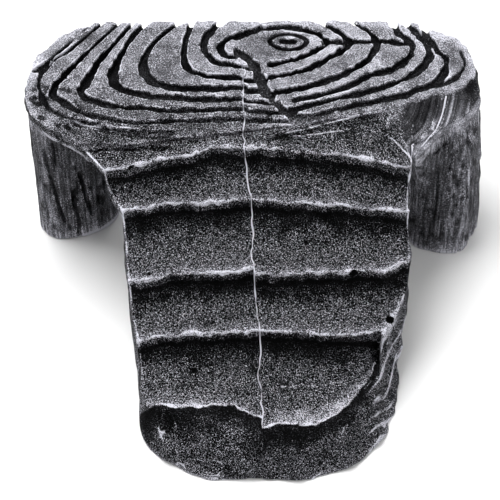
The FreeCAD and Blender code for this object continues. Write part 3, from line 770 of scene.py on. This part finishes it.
def mesh_from_field(name, grid, field, masks, whole=None):
    """A mesh of the field's zero surface, with paint masks as vertex attributes.

    `whole` is the field before it was cut into pieces, so that a cut doesn't count as an edge.
    """
    reach = 3.0
    volume = openvdb.FloatGrid(reach)
    volume.copyFromArray(np.clip(field, -reach, reach).astype(np.float32))
    spots, triangles, quads = volume.convertToPolygons(0.0, 0.0)
    places = grid.low + spots * grid.cell
    faces = [tuple(int(v) for v in face) for face in itertools.chain(quads, triangles)]
    mesh = bpy.data.meshes.new(name)
    mesh.from_pydata((places * MM).tolist(), [], faces)
    mesh.update()
    mesh.polygons.foreach_set("use_smooth", [True] * len(mesh.polygons))
    # edges and ridges stand proud of the blurred shape, and hollows lie below it; the material paints the
    # hollows darker, as painted shade in place of ambient occlusion
    shape = np.clip(field if whole is None else whole, -2.0, 2.0).astype(np.float32)
    near = blurred(shape, 2)
    far = blurred(near, 8)
    exposed = sample(near, spots) - sample(shape, spots)
    raised = sample(far, spots) - sample(near, spots)
    paint = {"exposed": exposed / PROUD, "raised": raised / PROUD, "line": np.full(len(places), FAR)}
    for key, mask in masks.items():
        paint[key] = mask(places)
    for key, values in paint.items():
        attribute = mesh.attributes.new(key, "FLOAT", "POINT")
        attribute.data.foreach_set("value", np.asarray(values, np.float32))
    print(name, "faces", len(quads) * 2 + len(triangles))
    return add_object(name, mesh)


# ---------------- paint masks


def platform_masks(grid):
    pits = reader(grid, ramp(noise_3d(grid, (1.3, 1.3, 1.0), 28), 0.40, 0.65))
    away = line_distance(grid.px, grid.py, curve_through(FRONT_CRACK[1]))
    in_crack = reader(grid, ramp(-away, -1.8, -1.2))

    def corner(p):
        """1 on the leaf-shaped facet and the flare at the right front."""
        x, y, z = p.T
        return ramp(x, 37.0, 40.0) * ramp(-y, -34.0, -30.0) * ramp(-z, 0.6 - TOP, 1.4 - TOP)

    def tone(p):
        x, y, z = p.T
        ridge = np.interp(y, [10.0, 17.0, 22.0, 30.0, 40.0], [0.29, 0.31, 0.52, 0.67, 0.72])
        ridge = ridge + 0.05 * ramp(x, 0.0, 20.0) * ramp(y, 22.0, 28.0)
        ridge = ridge - 0.16 * ramp(x, 4.0, 14.0) * ramp(-y, -25.0, -20.0)
        left_rim = ramp(-x, 50.0, 58.0) * ramp(-y, -34.0, -27.0)
        ridge = ridge + (0.60 - ridge) * left_rim
        floor = 0.30 + 0.12 * in_crack(p)
        depth = FACE - face_sink(y) - z
        shade = ridge - (ridge - floor) * ramp(depth, 0.3, 1.1) - dark_lines(p)
        across = right_of_leaf(x, y)
        strokes = 0.18 * np.interp(4.0 * across, SEAM_SPOTS, STROKES)
        pitted = ramp(-x, 47.0, 52.0) * ramp(-y, -38.0, -30.0) + 0.8 * corner(p) * (across < 0.0)
        shade = shade - 0.5 * pitted * pits(p)
        return shade + corner(p) * (0.43 + 0.10 * ramp(across, 0.0, 0.8) + strokes - shade)

    def line(p):
        """Distance to a pale line: the leaf-shaped facet's edge, or a worn line on the face."""
        leaf = np.where(corner(p) > 0.3, np.abs(right_of_leaf(p[:, 0], p[:, 1])), FAR)
        return np.minimum(leaf, pale_lines(p))

    def brushed(p):
        share = np.interp(p[:, 1], [12.0, 19.0, 26.0, 36.0], [1.4, 1.2, 0.75, 0.6])
        return share * (1.0 - 0.6 * corner(p))

    def bare(p):
        x, y, z = p.T
        return 1.3 * left_corner(x, y) * ramp(-z, -(UNDERSIDE + 2.4), -(UNDERSIDE + 1.8))

    return {"tone": tone, "brushed": brushed, "bare": bare, "line": line}


# The tread share is 0 just below a step's edge, 1 on the next edge, and over 1 down the foot. The
# whole landing has LANDING_SHARE, and past FOOT_SHARE the foot is clear of the lowest edge.
LANDING_SHARE = 0.28
FOOT_SHARE = 1.3


def stair_masks(grid, half):
    edges = step_edges(grid, half)
    share_map = np.where(grid.py > edges[0], LANDING_SHARE, 1.0 + (edges[-1] - grid.py) / 10.0)
    for start, end in zip(edges, edges[1:]):
        here = (grid.py < start) & (grid.py >= end)
        share_map = np.where(here, (start - grid.py) / (start - end), share_map)
    # distance behind the nearest step's edge: above 0 on the tread that ends there
    behind_map = np.full(share_map.shape, 99.0)
    for edge in edges:
        nearer = np.abs(grid.py - edge) < np.abs(behind_map)
        behind_map = np.where(nearer, grid.py - edge, behind_map)
    # the highest ground within 2 cells to the front or back: a step's rim, beside its drop
    ground_map = stair_top_map(grid, half)
    rim_map = np.max([np.roll(ground_map, shift, axis=1) for shift in range(-2, 3)], axis=0)
    top_edge = outline_distance(grid.px, grid.py, STAIR_TOP_EDGE)

    tread_share = reader(grid, share_map)
    behind = reader(grid, behind_map)
    ground = reader(grid, ground_map)
    rim = reader(grid, rim_map)
    off_top_edge = reader(grid, top_edge)
    levels = reader(grid, strata_level(grid, top_edge).astype(np.float32))
    veins = reader(grid, noise_3d(grid, (2.6, 2.6, 2.2), 62))
    vein_patches = reader(grid, noise_3d(grid, (5.0, 5.0, 3.5), 63))
    blobs = reader(grid, ramp(noise_3d(grid, (1.5, 1.5, 1.5), 64), 0.05, 0.55))
    bubble = reader(grid, bubbles(grid))

    def in_bubble(p):
        return ramp(bubble(p), -0.3, -0.05)

    def on_wall(p):
        """1 on the upright side walls and the underside, well below the treads."""
        below = ground(p) - p[:, 2]
        return ramp(below, 2.5, 5.0) * ramp(p[:, 1], -42.0, -38.0) * (tread_share(p) < FOOT_SHARE)

    def painted_shade_under_edge(p):
        """How deep the painted shade is right below a step's edge, from 0 to 1: dark paint there, and the
        edge's shadow painted in.
        """
        z = p[:, 2]
        close = ramp(-np.abs(behind(p)), -1.0, -0.6)
        depth = np.interp(z, [16.0, 32.0, 44.0, 50.0], [0.85, 0.85, 0.7, 0.5])
        depth = depth * ramp(rim(p) - z, 0.3, 1.2) * close
        return depth * (1.0 - on_wall(p)) * (tread_share(p) < FOOT_SHARE)

    def cheek(p):
        """1 on the right side wall near the foot."""
        outside = off_top_edge(p) > -0.8
        return ramp(p[:, 0], 27.0, 30.0) * ramp(-p[:, 1], 12.0, 18.0) * outside

    def scratches(p):
        """Distance to the nearest of the pale chipped edges on the foot and the right cheek."""
        away = 2.2 * np.abs(veins(p)) + FAR * (vein_patches(p) < 0.4)
        away = np.where(tread_share(p) > 1.06, away, FAR)
        level = levels(p)
        return np.minimum(away, 2.3 * np.abs(level - np.round(level)) + FAR * (cheek(p) < 0.5))

    def near_edge(p):
        """1 on a step's edge, and less over the next few mm of its tread."""
        return np.exp(-(np.clip(behind(p) - 0.8, 0.0, None) / 1.4) ** 2) * (behind(p) > -0.3)

    def worn_patch(p):
        """The bright patch on the right half, behind the lowest edge, and a weaker one on the left."""
        x = p[:, 0]
        right = ramp(x, 1.0, 6.0) * ramp(-x, -30.0, -22.0)
        left = 0.2 * ramp(-x, 2.0, 6.0)
        near = ramp(behind(p), -0.3, 0.1) * ramp(-behind(p), -6.0, -2.0)
        return np.maximum(left, right) * near * (p[:, 1] < -28.0)

    def brushed(p):
        shares = [0.0, 0.12, 0.35, 0.95, 1.02, 1.3, 1.7]
        share = np.interp(tread_share(p), shares, [0.45, 0.6, 0.95, 1.05, 0.4, 0.4, 0.8])
        share = (share + 0.5 * near_edge(p) + 1.2 * worn_patch(p)) * (1.0 - in_bubble(p))
        # fewer brushed specks in the painted shade below a step's edge
        return share * (1.0 - 0.6 * painted_shade_under_edge(p)) * (1.0 - 0.3 * on_wall(p))

    def tone(p):
        # each tread runs from near-black just below the edge above it to paler at its own edge: partly
        # sprayed dark paint, partly painted shade on the riser
        shares = [0.0, 0.10, 0.3, 0.6, 0.9, 1.0, 1.03, 1.2, 1.6]
        tones = [0.0, 0.0, 0.12, 0.165, 0.215, 0.26, 0.04, 0.03, 0.16]
        shade = np.interp(tread_share(p), shares, tones)
        # painted shade below each step's edge: darker paint there, standing partly for the edge's shadow
        shade = shade * (1.0 - painted_shade_under_edge(p) * (p[:, 2] > 16.0))
        shade = shade + on_wall(p) * (0.30 - shade)
        blob = blobs(p)
        worn = (0.18 + 0.45 * blob) * worn_patch(p) + (0.07 + 0.20 * blob) * near_edge(p)
        return shade + worn - dark_lines(p) - 0.8 * in_bubble(p)

    def line(p):
        """Distance to a pale line: an edge of a step or of the treads, a scratch or a worn line."""
        x, y, z = p.T
        nose = np.maximum(np.abs(behind(p) - 0.2), rim(p) - z - 0.35)
        nose = nose + FAR * (tread_share(p) > FOOT_SHARE)
        nose = np.clip(nose - 0.05 - 0.5 * blobs(p), 0.0, None) + FAR * on_wall(p)
        border = np.abs(off_top_edge(p) + 0.3) + FAR * (y < -38.0) + FAR * (y > 13.0)
        border = border + FAR * (z < edge_height(y) - 5.0)
        nearest = np.minimum(np.minimum(nose, border), scratches(p)) + FAR * (in_bubble(p) > 0.2)
        return np.minimum(nearest, pale_lines(p))

    def bare(p):
        x, y, z = p.T
        left = ramp(-x, -6.0, 10.0) * ramp(-z, -1.7, -0.6)
        right = 0.6 * ramp(x, 4.0, 20.0) * ramp(-z, -2.6, -1.0)
        return np.maximum(left, right) * ramp(-y, 30.0, 40.0)

    return {"tone": tone, "brushed": brushed, "bare": bare, "line": line}


def plain_masks(**shares):
    """The same paint all over."""
    return {key: lambda p, share=share: np.full(len(p), share) for key, share in shares.items()}


def leg_masks(grid, leg):
    """Paint of a leg: dark cracks, a shade that may change round it, and a bare lower rim."""
    sizes = [len(axis) for axis in grid.axes]
    crack = reader(grid, np.broadcast_to(leg_cracks(grid, leg), sizes))
    pits = reader(grid, leg_pits(grid, leg))

    def tone(p):
        return leg.shade(p) - 0.4 * crack(p) - 0.24 * pits(p)

    def brushed(p):
        return np.full(len(p), 0.55)

    def bare(p):
        return ramp(-p[:, 2], -2.2, -0.8) * leg.bare(p)

    return {"tone": tone, "brushed": brushed, "bare": bare}


# ---------------- build the pieces

materials = {}


def build_piece(node, ending, slot, grid, field, masks, whole=None):
    """The mesh that stands for a CAD node, with that slot's material."""
    piece = mesh_from_field(node + ending, grid, field, masks, whole)
    piece.data.materials.append(materials[slot])
    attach(piece, BODY)
    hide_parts(node)


# How far in mm the glue stands out of a leg's joint and the bead out of the resin, and the bead's
# half width.
BOND_PROUD = 0.15
BEAD_PROUD = 0.28
BEAD_HALF_WIDTH = 0.15
BEAD_CELL = 0.2


def build_platform():
    grid = Grid(PLATFORM_LOW - (2.0, 2.0, 2.0), PLATFORM_HIGH + (2.0, 2.0, 2.0), FINE_CELL)
    whole = platform_field(grid)
    whole = np.maximum(whole, -behind_joint(grid.px, grid.py)[:, :, None]).astype(np.float32)
    seam = right_of_seam(grid.px, grid.py)[:, :, None]
    for side, name in ((1, "platform_left_half"), (-1, "platform_right_half")):
        half = np.maximum(whole, side * seam)
        build_piece(name, "_casting", "ringed_resin", grid, half, platform_masks(grid), whole)


def build_stair():
    low = (STAIR_LOW[0] - 3.0, STAIR_LOW[1] - 3.0, -2.0)
    high = (44.0, 30.0, TOP + 2.0)
    for half, name in ((0, "stair_left_half"), (1, "stair_right_half")):
        side = 1 - 2 * half
        ends = ((low[0], 3.0), (-8.0, high[0]))[half]
        grid = Grid((ends[0], low[1], low[2]), (ends[1], high[1], high[2]), CELL)
        whole = stair_field(grid, half)
        whole = np.maximum(whole, behind_joint(grid.px, grid.py)[:, :, None]).astype(np.float32)
        seam = right_of_seam(grid.px, grid.py)[:, :, None]
        cut = np.maximum(whole, side * seam)
        build_piece(name, "_casting", "stair_resin", grid, cut, stair_masks(grid, half), whole)


def build_legs():
    margin = (3.0, 3.0, 2.0)
    for name, leg in LEGS.items():
        low, high = box_mm(name)
        grid = Grid(low - margin, high + margin, CELL)
        masks = leg_masks(grid, leg)
        build_piece(name, "_casting", "bark_resin", grid, leg_field(grid, leg), masks)


def build_bonds():
    """The glue in each leg's joint: a thin layer that stands a little proud of the leg."""
    for leg_name, leg in LEGS.items():
        name = leg_name + "_bond"
        low, high = box_mm(name)
        grid = Grid(low - (3.0, 11.0, 2.0), high + (3.0, 3.0, 2.0), CELL)
        middle = (low[2] + high[2]) / 2
        half_height = (high[2] - low[2]) / 2 + 0.1
        edge = outline_distance(grid.px, grid.py, leg.head)[:, :, None]
        edge = edge - BOND_PROUD + 0.35 * noise_3d(grid, (4.0, 4.0, 2.0), 91)
        layer = np.abs(grid.z - middle) - half_height
        field = smooth_max(edge, layer, 0.6).astype(np.float32)
        masks = plain_masks(tone=0.50, brushed=0.5, bare=0.15)
        build_piece(name, "_line", "bare_resin", grid, field, masks)


def build_bead():
    """The raised line along the seam, a thin wall in a skin over both halves' surfaces."""
    low, high = box_mm("seam_bead")
    grid = Grid(low - (1.5, 3.0, 3.0), high + (1.5, 1.0, 2.0), BEAD_CELL)
    joint = behind_joint(grid.px, grid.py)[:, :, None]
    platform = np.maximum(platform_field(grid), -joint)
    halves = [np.minimum(np.maximum(stair_field(grid, half), joint), platform) for half in (0, 1)]
    union = np.minimum(*halves)
    shared = np.maximum(*halves)
    seam = np.abs(right_of_seam(grid.px, grid.py))[:, :, None]
    ragged = 0.08 * noise_3d(grid, (1.0, 2.0, 2.0), 95)
    skin = smooth_max(union - BEAD_PROUD + 0.2 * noise_3d(grid, 2.4, 96), -(shared + 1.0), 0.1)
    field = smooth_max(seam - BEAD_HALF_WIDTH + ragged, skin, 0.12)
    ends = np.maximum(grid.y - high[1], SEAM_END - grid.y)
    field = np.maximum(field, ends).astype(np.float32)
    masks = plain_masks(tone=0.78, brushed=0.8, bare=0.5)
    build_piece("seam_bead", "_line", "bare_resin", grid, field, masks)


# ---------------- materials


def resin(name, streak_share, patch_share, edge_share, relief_and_hollow_shade_share, grain_share, fleck_share, roughness):
    """Painted resin: near-black in the hollows, from dark paint and painted shade, brushed bluish white
    on edges and grain.

    The masks and some noise add up to one paint value, 0 dark to 1 pale, for a colour ramp.
    """
    material = bpy.data.materials.new(name)
    material.use_nodes = True
    nodes, links = material.node_tree.nodes, material.node_tree.links
    shader = nodes["Principled BSDF"]
    places = nodes.new("ShaderNodeTexCoord").outputs["Object"]

    def plug(node, inputs):
        """Sets a node's inputs to values, or links another node's output to them."""
        for key, value in inputs.items():
            if isinstance(value, bpy.types.NodeSocket):
                links.new(value, node.inputs[key])
            else:
                node.inputs[key].default_value = value

    def new(kind, inputs, **settings):
        node = nodes.new("ShaderNode" + kind)
        for key, value in settings.items():
            setattr(node, key, value)
        plug(node, inputs)
        return node

    def attribute(key):
        return new("Attribute", {}, attribute_name=key).outputs["Fac"]

    def maths(operation, a, b, clamp=False):
        return new("Math", {0: a, 1: b}, operation=operation, use_clamp=clamp).outputs[0]

    def texture(size_mm, detail, seed, squash=(1.0, 1.0, 1.0)):
        """Noise centred on 0, with cells of that size, drawn out where squash is less than 1."""
        drawn = new("VectorMath", {0: places, 1: squash}, operation="MULTIPLY").outputs[0]
        shift = (seed, seed * 0.7, -seed)
        moved = new("VectorMath", {0: drawn, 1: shift}, operation="ADD").outputs[0]
        inputs = {"Vector": moved, "Scale": 1.0 / (size_mm * MM), "Detail": detail, "Roughness": 0.6}
        return maths("SUBTRACT", new("TexNoise", inputs).outputs["Fac"], 0.5)

    def between(value, low, high):
        inputs = {"Value": value, "From Min": low, "From Max": high}
        return new("MapRange", inputs, interpolation_type="SMOOTHSTEP").outputs["Result"]

    def add(a, b):
        return maths("ADD", a, b)

    def times(a, b):
        return maths("MULTIPLY", a, b)

    patches = texture(5.0, 4.0, 3.1)
    streaks = texture(0.7, 3.0, 5.5, (1.0, 1.0, 0.06))
    grains = texture(0.33, 3.0, 7.7)
    specks = texture(0.20, 1.0, 12.3)
    brushed = attribute("brushed")

    edge = add(add(attribute("exposed"), times(grains, 2.6)), times(patches, 1.6))
    edge = times(between(edge, 0.6, 1.4), edge_share)
    # raised ground comes out paler, like brushed paint, and hollows darker: painted shade in place of
    # ambient occlusion
    raised = times(maths("SUBTRACT", between(attribute("raised"), -0.6, 2.4), 0.5), relief_and_hollow_shade_share)
    grain = add(times(grains, 1.3), times(specks, 1.5))
    grain = times(times(grain, grain_share), brushed)
    fleck = between(add(grains, times(specks, 1.2)), 0.12, 0.25)
    fleck = times(times(fleck, fleck_share), between(patches, -0.3, 0.05))
    fleck = times(fleck, brushed)
    # a broken line of bare edge, as wide as a brush leaves it
    off_line = maths("ABSOLUTE", add(attribute("line"), times(grains, 0.7)), 0.0)
    broken = between(add(patches, times(grains, 0.8)), -0.22, 0.12)
    line = times(maths("SUBTRACT", 1.0, between(off_line, 0.10, 0.36)), broken)
    blotches = times(patches, patch_share)
    bare = times(attribute("bare"), 0.45)
    value = add(attribute("tone"), times(streaks, streak_share))
    for part in (line, edge, raised, grain, fleck, blotches, bare):
        value = add(value, part)

    colours = new("ValToRGB", {"Fac": value})
    elements = colours.color_ramp.elements
    while len(elements) < len(PAINT):
        elements.new(0.5)
    for element, (spot, colour) in zip(elements, PAINT):
        element.position = spot
        element.color = (*colour, 1.0)
    height = add(grains, times(specks, 0.6))
    bump = new("Bump", {"Strength": 0.6, "Distance": 0.3 * MM, "Height": height})
    plug(shader, {
        "Base Color": colours.outputs["Color"],
        "Roughness": maths("ADD", times(grains, 0.5), roughness, clamp=True),
        "Specular IOR Level": 0.01,
        "Normal": bump.outputs["Normal"],
    })
    return material


# The colour ramp: paint value and colour.
PAINT = [
    (0.00, (0.0015, 0.0015, 0.0016)),
    (0.25, (0.008, 0.008, 0.009)),
    (0.50, (0.034, 0.034, 0.037)),
    (0.70, (0.110, 0.110, 0.123)),
    (0.85, (0.285, 0.285, 0.318)),
    (1.00, (0.640, 0.640, 0.710)),
]


# Each material's shares of streaks, patches, edges, raised ground (with painted shade in the hollows),
# grain and flecks, and its roughness.
RESINS = {
    "ringed_resin": (0.0, 0.55, 0.84, 0.3, 1.3, 0.2, 0.6),
    "stair_resin": (0.0, 0.55, 0.22, 0.12, 2.1, 0.62, 0.65),
    "bark_resin": (1.0, 0.3, 0.5, 0.3, 1.1, 0.15, 0.5),
    "bare_resin": (0.0, 0.55, 0.2, 0.3, 1.0, 0.0, 0.5),
}


# ---------------- stage

CAMERA_AIM = Vector((-3.0, 0.0, 25.0)) * MM
CAMERA_DISTANCE = 0.5
CAMERA_ELEVATION = math.radians(50.0)
CAMERA_LENS = 130.7
SENSOR = 36.0

# Each light's place in m, power in W and size in m.
LIGHTS = {
    "key": ((-0.20, 0.15, 0.80), 7.6, 0.4),
    "fill": ((0.55, -0.45, 0.50), 1.5, 0.7),
    "back": ((0.15, 0.75, 0.55), 2.0, 0.5),
}
WORLD_STRENGTH = 0.42
FLOOR_HALF = 3.0


def build_camera():
    data = bpy.data.cameras.new("camera")
    data.lens = CAMERA_LENS
    data.sensor_width = SENSOR
    data.clip_start = 0.01
    camera = add_object("camera", data)
    back = Vector((0.0, -math.cos(CAMERA_ELEVATION), math.sin(CAMERA_ELEVATION)))
    camera.location = CAMERA_AIM + back * CAMERA_DISTANCE
    camera.rotation_euler = (-back).to_track_quat("-Z", "Y").to_euler()
    bpy.context.scene.camera = camera


def build_lights():
    for name, (spot, energy, size) in LIGHTS.items():
        data = bpy.data.lights.new(name, "AREA")
        data.energy = energy
        data.size = size
        light = add_object(name, data)
        light.location = spot
        light.rotation_euler = (-Vector(spot)).to_track_quat("-Z", "Y").to_euler()
    world = bpy.data.worlds.new("studio")
    world.use_nodes = True
    background = world.node_tree.nodes["Background"]
    background.inputs["Color"].default_value = (1.0, 1.0, 1.0, 1.0)
    background.inputs["Strength"].default_value = WORLD_STRENGTH
    bpy.context.scene.world = world


def build_floor():
    mesh = bpy.data.meshes.new("floor")
    corners = [(x * FLOOR_HALF, y * FLOOR_HALF, 0) for x, y in ((-1, -1), (1, -1), (1, 1), (-1, 1))]
    mesh.from_pydata(corners, [], [(0, 1, 2, 3)])
    floor = add_object("floor", mesh)
    material = bpy.data.materials.new("floor")
    material.use_nodes = True
    shader = material.node_tree.nodes["Principled BSDF"]
    shader.inputs["Base Color"].default_value = (0.9, 0.9, 0.9, 1.0)
    shader.inputs["Roughness"].default_value = 0.9
    mesh.materials.append(material)


bpy.context.scene.view_settings.view_transform = "Standard"
build_camera()
build_lights()
build_floor()
for resin_name, shares in RESINS.items():
    materials[resin_name] = resin(resin_name, *shares)
build_platform()
build_stair()
build_legs()
build_bonds()
build_bead()
